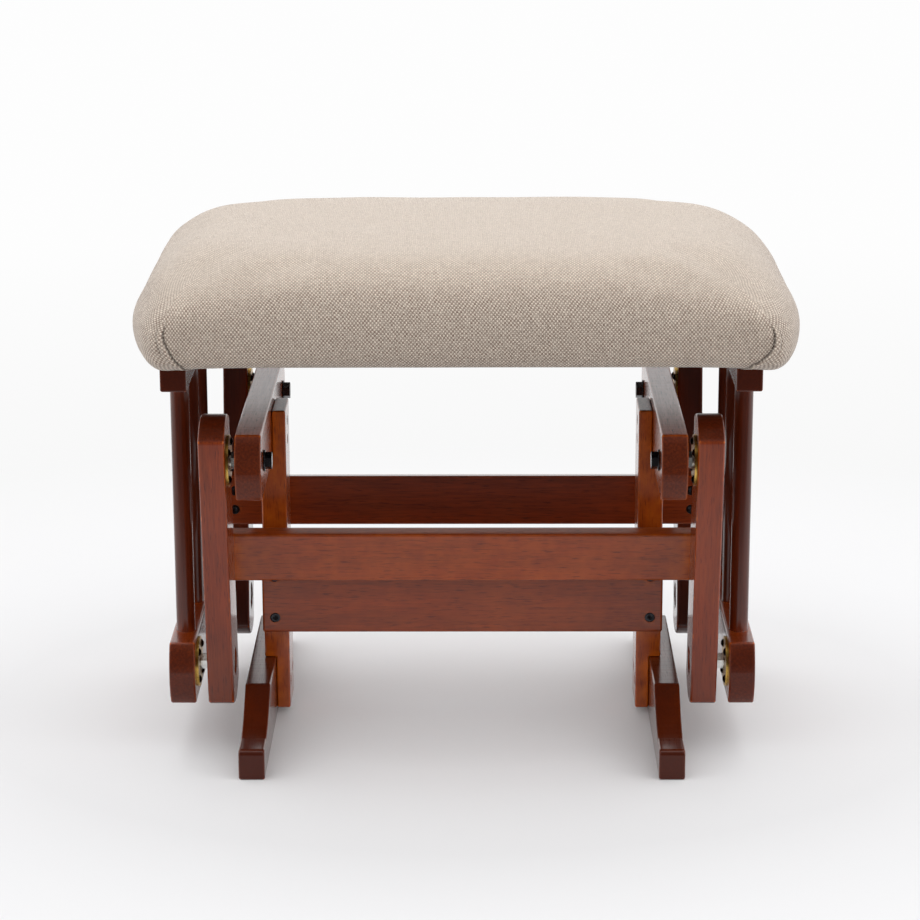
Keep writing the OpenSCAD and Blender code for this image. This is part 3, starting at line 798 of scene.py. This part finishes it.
def rounded_point(across, side, half_w, half_d, square):
    """A point of a round-cornered outline. Across runs from -1 to 1 between the corners of a side."""
    u = 0.5 ** (1 / square) * across
    v = (1 - abs(u) ** square) ** (1 / square)
    swell = CUSHION_SWELL * (abs(1 - 2 * abs(u) ** square) ** SWELL_POWER - 1)
    place = turned(u, -v, side)
    return Vector((place.x * (half_w + swell), place.y * (half_d + swell)))


def folded_point(across, side, half_w, half_d, share):
    """A point of the outline at the height of the folds, where the corners are sharp."""
    bulge = read_line(SIDE_BULGE, share)
    corner = (half_w - bulge, half_d - FRONT_BOW)
    bow, power = ((FRONT_BOW, BOW_POWER), (bulge, BULGE_POWER))[side % 2]
    reach = corner[side % 2]
    near = max(0.0, TURN_REACH - reach * (1 - abs(across))) ** 2 / (4 * TURN_REACH)
    in_along, in_out = near * TURN_WAY[side % 2], near * TURN_WAY[1 - side % 2]
    along = math.copysign(reach * abs(across) - in_along, across)
    out = (half_d, half_w)[side % 2] - bow * abs(across) ** power - in_out
    return turned(along, -out, side)


def outline_point(across, side, half_w, half_d, share):
    """A point of the outline at any height, sharp-cornered low down and round above."""
    fade = smooth_step(share, *TURN_FADE)
    return folded_point(across, side, half_w, half_d, share).lerp(
        rounded_point(across, side, half_w, half_d, corner_squareness(share)), fade)


class CushionRow:
    """One ring round the cushion: its outline, its height, and where it lies on the flat cloth."""

    def __init__(self, half_w, half_d, height, front_in, side_in, z, hung, columns):
        share = z / height
        self.share = share
        self.reach = (half_d - front_in, half_w - side_in)
        self.hung = hung
        self.fall = 1 - smooth_step(share, *CLOTH_TURN)
        self.sides = []
        for side in range(4):
            points = [
                outline_point(2 * k / columns[side % 2] - 1, side, self.reach[1], self.reach[0], share)
                for k in range(columns[side % 2] + 1)]
            self.sides.append((points, lengths_along(points)))
        self.z = z

    def place(self, side, k):
        """The k-th point of a side in space, its corners hanging a little."""
        points = self.sides[side][0]
        across = 2 * k / (len(points) - 1) - 1
        droop = CORNER_DROOP * across ** DROOP_POWER * max(0.0, 1 - self.share / FOLD_HEIGHT)
        return points[k].x, points[k].y, self.z - droop

    def cloth_place(self, side, k):
        """The k-th point of a side on the flat cloth."""
        points, lengths = self.sides[side]
        along, out = SIDE_WAYS[side]
        a = points[k].dot(along) * (1 - self.fall) + (lengths[k] - lengths[-1] / 2) * self.fall
        o = points[k].dot(out) * (1 - self.fall) + self.reach[side % 2] * self.fall
        return (along * a + out * (o + self.hung[side % 2])).to_3d()

    def past_corner(self, side, end, distance):
        """Where a side's cloth would lie that far past one of its corners."""
        along, out = SIDE_WAYS[side]
        a = end * (self.sides[side][1][-1] / 2 + distance)
        return (along * a + out * (self.reach[side % 2] + self.hung[side % 2])).to_3d()


def cushion_rows(half_w, half_d, height, columns):
    """The cushion's rings, from the ones under it to the one round its crown."""
    curve = smooth_curve(
        [(f * CUSHION_ROUND, s * CUSHION_ROUND, z * height) for f, s, z in SIDE_SHARES], CURVE_STEPS)
    sides = spaced(curve, ROW_SPACING)
    front = lengths_along([(row[0], row[2]) for row in sides])
    left = lengths_along([(row[1], row[2]) for row in sides])
    rows = []
    for row, f, s in zip(sides, front, left):
        hung = (front[-1] - f - sides[-1][0] + row[0], left[-1] - s - sides[-1][1] + row[1])
        rows.append(CushionRow(half_w, half_d, height, row[0], row[1], row[2], hung, columns))
    under = []
    for k in range(UNDER_ROWS):
        inward = UNDER_WIDTH * (1 - k / UNDER_ROWS)
        hung = [value + 2 * inward for value in rows[0].hung]
        under.append(CushionRow(
            half_w, half_d, height, sides[0][0] + inward, sides[0][1] + inward, 0.0, hung, columns))
    return under + rows


def cushion_mesh(rows, columns, height):
    """The cushion with a grid of cells over it, and each cell's place on the flat cloth."""
    bm = bmesh.new()
    cloth = bm.loops.layers.float_vector.new("cloth")
    around = [(side, k) for side in range(4) for k in range(columns[side % 2])]
    rings = [[bm.verts.new(row.place(side, k)) for side, k in around] for row in rows]
    for r in range(len(rows) - 1):
        for i, (side, k) in enumerate(around):
            j = (i + 1) % len(around)
            face = bm.faces.new((rings[r][i], rings[r][j], rings[r + 1][j], rings[r + 1][i]))
            places = [rows[r].cloth_place(side, k), rows[r].cloth_place(side, k + 1),
                      rows[r + 1].cloth_place(side, k + 1), rows[r + 1].cloth_place(side, k)]
            for loop, place in zip(face.loops, places):
                loop[cloth] = place
    fill_lid(bm, rings[-1], columns, cloth, height, False)
    fill_lid(bm, rings[0], columns, cloth, 0.0, True)
    return bm


def fill_lid(bm, ring, columns, cloth, top, flip):
    """Fills a ring of the cushion with a grid of cells that run front to back, and crowns it up to top."""
    w, d = columns
    front = [ring[k] for k in range(w + 1)]
    right = [ring[w + k] for k in range(d + 1)]
    back = [ring[2 * w + d - k] for k in range(w + 1)]
    left = [ring[(2 * w + 2 * d - k) % len(ring)] for k in range(d + 1)]
    grid = [front]
    for j in range(1, d):
        t = j / d
        line = [left[j]]
        for i in range(1, w):
            s = i / w
            spot = front[i].co.lerp(back[i].co, t) + left[j].co.lerp(right[j].co, s)
            spot -= front[0].co.lerp(front[w].co, s).lerp(back[0].co.lerp(back[w].co, s), t)
            edge = min(s, 1 - s) * min(t, 1 - t)
            spot.z += (top - spot.z) * smooth_step(4 * edge, *CROWN_FADE)
            line.append(bm.verts.new(spot))
        line.append(right[j])
        grid.append(line)
    grid.append(back)
    for j in range(d):
        for i in range(w):
            quad = (grid[j][i], grid[j][i + 1], grid[j + 1][i + 1], grid[j + 1][i])
            face = bm.faces.new(quad[::-1] if flip else quad)
            for loop in face.loops:
                loop[cloth] = (loop.vert.co.x, loop.vert.co.y, 0)


def swell_over_foam(piece, held):
    """Lets the cover swell over its foam by cloth simulation, its stapled edge and underside held."""
    stapled = piece.vertex_groups.new(name="stapled")
    stapled.add(held, 1.0, "REPLACE")
    cloth = piece.modifiers.new("swelling", "CLOTH")
    cloth.settings.quality = SWELL_QUALITY
    cloth.settings.vertex_group_mass = "stapled"
    cloth.settings.use_pressure = True
    cloth.settings.uniform_pressure_force = SWELL_PRESSURE
    cloth.settings.effector_weights.gravity = 0
    cloth.point_cache.frame_start = 1
    cloth.point_cache.frame_end = SWELL_FRAMES
    for number in range(1, SWELL_FRAMES + 1):
        bpy.context.scene.frame_set(number)
    swollen = piece.evaluated_get(bpy.context.evaluated_depsgraph_get()).to_mesh()
    moved = [vert.co.copy() for vert in swollen.vertices]
    piece.modifiers.remove(cloth)
    piece.vertex_groups.remove(stapled)
    bpy.context.scene.frame_set(1)
    steps = []
    for vert, place in zip(piece.data.vertices, moved):
        step = place - vert.co
        steps.append(step * min(1.0, SWELL_CAP / max(TINY, step.length)))
    for vert, step in zip(piece.data.vertices, evened(piece.data, steps)):
        vert.co += step


def evened(mesh, steps):
    """The steps evened out between neighbours, so that the swelling leaves no creases."""
    for _ in range(SETTLE_ROUNDS):
        sums = [Vector() for _ in steps]
        counts = [0] * len(steps)
        for edge in mesh.edges:
            a, b = edge.vertices
            sums[a] += steps[b]
            sums[b] += steps[a]
            counts[a] += 1
            counts[b] += 1
        steps = [step.lerp(total / count, SETTLE_SHARE) for step, total, count in zip(steps, sums, counts)]
    return steps


def ripple(mesh):
    """Slight unevenness of the wadding under the cloth."""
    for vert, normal in zip(mesh.vertices, [vert.normal.copy() for vert in mesh.vertices]):
        if normal.z > UNDERSIDE:
            vert.co += normal * WAVE_DEPTH * noise.noise(vert.co * WAVES)


# Corner pleats: the cloth of a side folded over the front or back. Distances are from the corner,
# and fades run up the cushion, in shares of its height.
PLEAT_THICK = 3.0 * MM
PLEAT_LIP = 0.9 * MM
PLEAT_CREST = 1.8 * MM
PLEAT_ROOT = -9 * MM
PLEAT_COLUMNS = 30
PLEAT_STEPS = 5
PLEAT_CROWDING = 1.5
CELLS_BEHIND, CELLS_AHEAD = 3, 8

# Back from its lip a pleat thins, then sinks into the cushion, and it is flatter at its foot
THINNED = 0.55
THINS = (3 * MM, 8 * MM)
SINKS_FROM = 0.45
FOOT_THICK = 0.35
FOOT_FADE = (0.0, 0.09)
TOP_FADE = (0.27, 0.45)
PLEAT_TOP = 0.46

# The gutter in front of the lip, and how deep the far edge of the pleat lies in the cushion
GUTTER = 2.2 * MM
GUTTER_COLUMNS = 4
GUTTER_RISE = 0.2 * MM
GUTTER_FALL = 0.6 * MM
GUTTER_SLOPE = (0.5, 1.0)
ROOT_DEPTH = 0.35 * MM
ROOT_FADE = 0.6

# Shadow in the gutter and in the tuck, and light on the crest of the lip
GUTTER_SHADE = (0.25, 0.8)
CREST_LIGHT = 0.3
TUCK_SHADE = 0.7
TUCK_SHADE_WIDTH = 0.6 * MM
SHADE_FADE = (0.33, 0.46)

# How far from the corner the lip lies at each height, how much that differs from one front corner
# to the other, and how far behind the lip its tuck lies
PLEAT_LINE = [
    (0.0, 25 * MM), (0.05, 23 * MM), (0.12, 17 * MM), (0.21, 10.6 * MM), (0.27, 7.6 * MM), (0.33, 5.2 * MM),
    (0.46, 1.8 * MM)]
PLEAT_UNEVEN = [(0.0, -2 * MM), (0.05, -1 * MM), (0.12, 1.2 * MM), (0.21, 3 * MM), (0.46, 2.4 * MM)]
TUCK_BACK = [(0.05, 9 * MM), (0.18, 7 * MM), (0.35, 5 * MM), (0.46, 4 * MM)]
TUCK_DEPTH = 0.8 * MM
TUCK_WIDTH = 0.8 * MM
TUCK_FADE = (0.12, 0.2)


def tuck(back, share, width):
    """From 0 beside a pleat's tuck to 1 along it."""
    off = (back - read_line(TUCK_BACK, share)) / width
    return math.exp(-off * off) * smooth_step(share, *TUCK_FADE)


def pleat_height(distance, lip, share):
    """How far a pleat stands off the cushion, its rounded lip facing away from the corner."""
    back = lip - distance
    if back < 0:
        return GUTTER_RISE - GUTTER_FALL * smooth_step(-back / GUTTER, *GUTTER_SLOPE)
    edge = share_between(back, 0.0, PLEAT_LIP)
    fold = PLEAT_THICK * math.sqrt(1 - (1 - edge) ** 2)
    fold *= 1 - (1 - THINNED) * smooth_step(back, *THINS)
    fold *= 1 - smooth_step(back, SINKS_FROM * (lip - PLEAT_ROOT), lip - PLEAT_ROOT)
    fold -= TUCK_DEPTH * tuck(back, share, TUCK_WIDTH)
    fold *= 1 - smooth_step(share, *TOP_FADE)
    fold *= FOOT_THICK + (1 - FOOT_THICK) * smooth_step(share, *FOOT_FADE)
    return fold - ROOT_DEPTH * (1 - smooth_step(distance, PLEAT_ROOT, ROOT_FADE * PLEAT_ROOT))


def pleat_crease(distance, lip, share):
    """How far a spot on a pleat lies in shadow, below zero where its crest catches the light."""
    back = lip - distance
    if back < 0:
        shade = 1 - smooth_step(-back / GUTTER, *GUTTER_SHADE)
    elif back < PLEAT_LIP:
        shade = 1 - (1 + CREST_LIGHT) * back / PLEAT_LIP
    else:
        shade = -CREST_LIGHT * (1 - smooth_step(back, PLEAT_LIP, PLEAT_LIP + PLEAT_CREST))
    shade += TUCK_SHADE * tuck(back, share, TUCK_SHADE_WIDTH)
    return shade * (1 - smooth_step(share, *SHADE_FADE))


def point_along(points, lengths, distance):
    """The point at a distance along a line of points."""
    k = 0
    while k < len(points) - 2 and lengths[k + 1] < distance:
        k += 1
    return points[k].lerp(points[k + 1], (distance - lengths[k]) / (lengths[k + 1] - lengths[k]))


def pleat(bm, cloth, crease_shade, surface, mesh, rows, columns, corner, way, side, end):
    """Folds one corner's pleat. Way is the way round the cushion that the fold lies over."""
    size = 2 * (columns[0] + columns[1])
    first = UNDER_ROWS - 2
    top = max(r for r, row in enumerate(rows) if row.share < PLEAT_TOP)
    lines = []
    for r in range(first, top + 2):
        points = [mesh.vertices[r * size + (corner + way * k) % size].co
                  for k in range(-CELLS_BEHIND, CELLS_AHEAD)]
        lengths = lengths_along(points)
        lines.append((points, [length - lengths[CELLS_BEHIND] for length in lengths]))
    grid = []
    for level in range((len(lines) - 1) * PLEAT_STEPS):
        r, t = divmod(level, PLEAT_STEPS)
        t /= PLEAT_STEPS
        lower, upper = rows[first + r], rows[first + r + 1]
        share = lower.share + (upper.share - lower.share) * t
        lip = read_line(PLEAT_LINE, share) + way * read_line(PLEAT_UNEVEN, share)
        line = []
        for k in range(-GUTTER_COLUMNS, PLEAT_COLUMNS + 1):
            if k < 0:
                distance = lip - GUTTER * k / GUTTER_COLUMNS
            else:
                distance = lip + (PLEAT_ROOT - lip) * (k / PLEAT_COLUMNS) ** PLEAT_CROWDING
            spot = point_along(*lines[r], distance).lerp(point_along(*lines[r + 1], distance), t)
            found, normal = surface.find_nearest(spot)[:2]
            vert = bm.verts.new(found + normal * pleat_height(distance, lip, share))
            # Painted shade in the gutter and the tuck, and a painted highlight on the crest of the lip
            vert[crease_shade] = pleat_crease(distance, lip, share)
            line.append((vert, lower.past_corner(side, end, distance).lerp(
                upper.past_corner(side, end, distance), t)))
        grid.append(line)
    for low, high in zip(grid, grid[1:]):
        for a, b, c, d in zip(low, low[1:], high[1:], high):
            corners = (a, b, c, d) if way < 0 else (d, c, b, a)
            face = bm.faces.new([vert for vert, _ in corners])
            for loop, (_, place) in zip(face.loops, corners):
                loop[cloth] = place


def make_pleats(mesh, surface, rows, columns):
    """The four corner pleats, in one piece."""
    w, d = columns
    bm = bmesh.new()
    cloth = bm.loops.layers.float_vector.new("cloth")
    # How much painted shade, or below zero painted highlight, each spot of a pleat gets
    crease_shade = bm.verts.layers.float.new("crease_shade")
    for corner, way, side, end in ((0, 1, 3, 1), (w, -1, 1, -1), (w + d, 1, 1, 1), (2 * w + d, -1, 3, -1)):
        pleat(bm, cloth, crease_shade, surface, mesh, rows, columns, corner, way, side, end)
    folds = mesh_from(bm, "cushion_pleats")
    folds.shade_smooth()
    folds.materials.append(TWEED_CLOTH)
    piece = add_object("cushion_pleats", folds)
    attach(piece, "seat")


def make_cushion():
    low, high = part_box("cushion_cover")
    half_w, half_d, height = (high.x - low.x) / 2, (high.y - low.y) / 2, high.z - low.z
    columns = (round(2 * half_w / CUSHION_CELL), round(2 * half_d / CUSHION_CELL))
    rows = cushion_rows(
        half_w + CUSHION_WIDER - START_SMALLER, half_d - START_SMALLER, height - START_SMALLER, columns)
    bm = cushion_mesh(rows, columns, height - START_SMALLER)
    for vert in bm.verts:
        vert.co += Vector((read_line(SIDE_SHIFT, vert.co.z / height), 0, low.z))
    mesh = mesh_from(bm, "cushion")
    mesh.shade_smooth()
    mesh.materials.append(TWEED_CLOTH)
    piece = add_object("cushion", mesh)
    around = 2 * sum(columns)
    ringed = len(rows) * around
    under = list(range((UNDER_ROWS + 1) * around)) + [
        vert.index for vert in mesh.vertices if vert.index >= ringed and vert.co.z < low.z + height / 2]
    swell_over_foam(piece, under)
    ripple(mesh)
    piece.modifiers.new("rounder", "SUBSURF").levels = 1
    rounded = bpy.data.meshes.new_from_object(piece.evaluated_get(bpy.context.evaluated_depsgraph_get()))
    surface = BVHTree.FromPolygons(
        [vert.co for vert in rounded.vertices], [list(face.vertices) for face in rounded.polygons])
    make_pleats(mesh, surface, rows, columns)
    piece.modifiers.clear()
    piece.data = rounded
    # Painted light: how far each spot of the cover faces up, which makes its cloth lighter
    store(rounded, "pressed", "FLOAT", "POINT", "value", [
        smooth_step(vert.normal.z, *TOP_LIGHT_TILT) for vert in rounded.vertices])
    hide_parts("cushion_cover", "cushion_foam")
    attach(piece, "seat")


# Underside

CLOTH_CELLS = (60, 36)
CLOTH_THICK = 0.4 * MM
CLOTH_SAG = 1.2 * MM
CLOTH_RIPPLE = 0.25 * MM
RIPPLES_ACROSS, RIPPLES_ALONG = 9, 7


def make_dust_cloth():
    """The black cloth under the seat board, which sags a little between its stapled edges."""
    low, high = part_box("dust_cloth")
    width, depth = high.x - low.x, high.y - low.y
    bm = bmesh.new()
    bmesh.ops.create_grid(bm, x_segments=CLOTH_CELLS[0], y_segments=CLOTH_CELLS[1], size=0.5)
    for vert in bm.verts:
        x, y = vert.co.x * 2, vert.co.y * 2
        sag = CLOTH_SAG * (1 - x ** 2) * (1 - y ** 2)
        rise = CLOTH_RIPPLE * noise.noise(Vector((x * RIPPLES_ACROSS, y * RIPPLES_ALONG, 0)))
        vert.co = Vector((vert.co.x * width, vert.co.y * depth, high.z - CLOTH_THICK - sag + rise))
    mesh = mesh_from(bm, "dust_cloth")
    mesh.shade_smooth()
    mesh.materials.append(black_cloth("black_cloth"))
    piece = add_object("dust_cloth_sheet", mesh)
    thickness = piece.modifiers.new("thickness", "SOLIDIFY")
    thickness.thickness = CLOTH_THICK
    thickness.offset = -1
    put_in_place(piece, "dust_cloth")


# Studio

# The floor's colour is paler under the ottoman, painted light that lifts its shadow, and the floor fades to
# the background, over an oval round it
FLOOR_SIZE = 14
FLOOR_OVAL = (0.8, 1, 0)
PAINTED_LIGHT_FADE = (0.16, 0.34)
BACKGROUND_FADE = (0.45, 0.9)
FRONT_FADE = (-0.45, -0.75)

# Brightness, each as from where, to where, and what it is at both
FLOOR_GLOW = (0.6, 2.2, 0.93, 0.985)
TENT_UPWARDS = (0.0, 0.75, 1.85, 0.95)
TENT_BACKWARDS = (-0.9, -0.2, 0.8, 1.0)
MIRRORED_UPWARDS = (0.0, 0.3, 0.10, 0.0)
MIRRORED_BACKWARDS = (-0.8, 0.1, 0.03, 0.985)
BACKGROUND = 0.99
WHITE = (1, 1, 1, 1)

# Where each light panel hangs, where it points, its size and its watts
PANELS = {
    "top_panel": ((0, 0.3, 2.4), (0, 0, 0.3), (2.2, 1.8), 14),
    "left_panel": ((-2.4, -0.9, 1.2), (0, 0, 0.25), (1.4, 1.6), 3),
    "right_panel": ((2.4, -0.9, 1.2), (0, 0, 0.25), (1.4, 1.6), 6.5)}


def light_panel(name, place, target, size, power):
    lamp = bpy.data.lights.new(name, "AREA")
    lamp.shape = "RECTANGLE"
    lamp.size, lamp.size_y = size
    lamp.energy = power
    panel = add_object(name, lamp)
    panel.location = place
    panel.rotation_euler = (Vector(target) - Vector(place)).to_track_quat("-Z", "Y").to_euler()


def white_rays(n):
    """1 for the rays that see the background: those of the camera, of mirrors and of glass."""
    seen = n.put("ShaderNodeLightPath").outputs
    return n.math("MAXIMUM", seen["Is Camera Ray"], n.math(
        "MAXIMUM", seen["Is Glossy Ray"], seen["Is Transmission Ray"]))


def make_floor():
    """A pale floor, painted paler still under the ottoman to lift its shadow, and darker in front for the
    rays that light the ottoman.
    """
    bm = bmesh.new()
    bmesh.ops.create_grid(bm, x_segments=8, y_segments=8, size=FLOOR_SIZE)
    floor = add_object("floor", mesh_from(bm, "floor"))
    material, n, shader = start_material("studio_floor")
    forward = n.put("ShaderNodeSeparateXYZ", Vector=n.place()).outputs["Y"]
    unseen = n.math("SUBTRACT", 1.0, n.put("ShaderNodeLightPath").outputs["Is Camera Ray"])
    in_front = n.times(n.ramp(forward, *FRONT_FADE), unseen)
    oval = n.put("ShaderNodeVectorMath", {"operation": "LENGTH"})
    n.feed(oval.inputs[0], n.vector("MULTIPLY", n.place(), FLOOR_OVAL))
    reach = oval.outputs["Value"]
    # Painted light: the floor is paler under the ottoman to lift its shadow there
    colour = n.mix(in_front, n.mix(n.ramp(reach, *PAINTED_LIGHT_FADE), FLOOR_PAINTED_LIGHT, FLOOR), FLOOR_IN_FRONT)
    n.fill(shader, Base_Color=colour, Roughness=0.8, Specular_IOR_Level=0.1)
    glow = n.put("ShaderNodeEmission", Color=WHITE, Strength=n.ramp(reach, *FLOOR_GLOW))
    faded = n.times(n.ramp(reach, *BACKGROUND_FADE), n.math("SUBTRACT", 1.0, in_front))
    blend = n.put("ShaderNodeMixShader", Fac=n.times(faded, white_rays(n)))
    tree = material.node_tree
    tree.links.new(shader.outputs[0], blend.inputs[1])
    tree.links.new(glow.outputs[0], blend.inputs[2])
    tree.links.new(blend.outputs[0], tree.nodes["Material Output"].inputs["Surface"])
    floor.data.materials.append(material)


def light_world():
    """A white tent, brightest low down all round and darker behind the camera.

    The camera sees it plain white, and mirrors see it dark behind the camera."""
    world = bpy.data.worlds.new("studio")
    bpy.context.scene.world = world
    world.use_nodes = True
    n = Nodes(world.node_tree)
    way = n.put("ShaderNodeSeparateXYZ", Vector=n.put("ShaderNodeTexCoord").outputs["Generated"]).outputs
    tent = n.times(n.ramp(way["Z"], *TENT_UPWARDS), n.ramp(way["Y"], *TENT_BACKWARDS))
    mirrored = n.math("MAXIMUM", n.ramp(way["Z"], *MIRRORED_UPWARDS), n.ramp(way["Y"], *MIRRORED_BACKWARDS))
    looking = n.put("ShaderNodeLightPath").outputs["Is Camera Ray"]
    seen = n.math("MAXIMUM", n.times(looking, BACKGROUND), mirrored)
    white = white_rays(n)
    strength = n.math("ADD", n.times(white, seen), n.times(n.math("SUBTRACT", 1.0, white), tent))
    n.fill(world.node_tree.nodes["Background"], Color=WHITE, Strength=strength)


def light_studio():
    light_world()
    for name, (place, target, size, power) in PANELS.items():
        light_panel(name, place, target, size, power)
    bpy.context.scene.view_settings.view_transform = "Standard"


place_camera()
make_boards()
finish_hardware()
make_cushion()
make_dust_cloth()
make_floor()
light_studio()
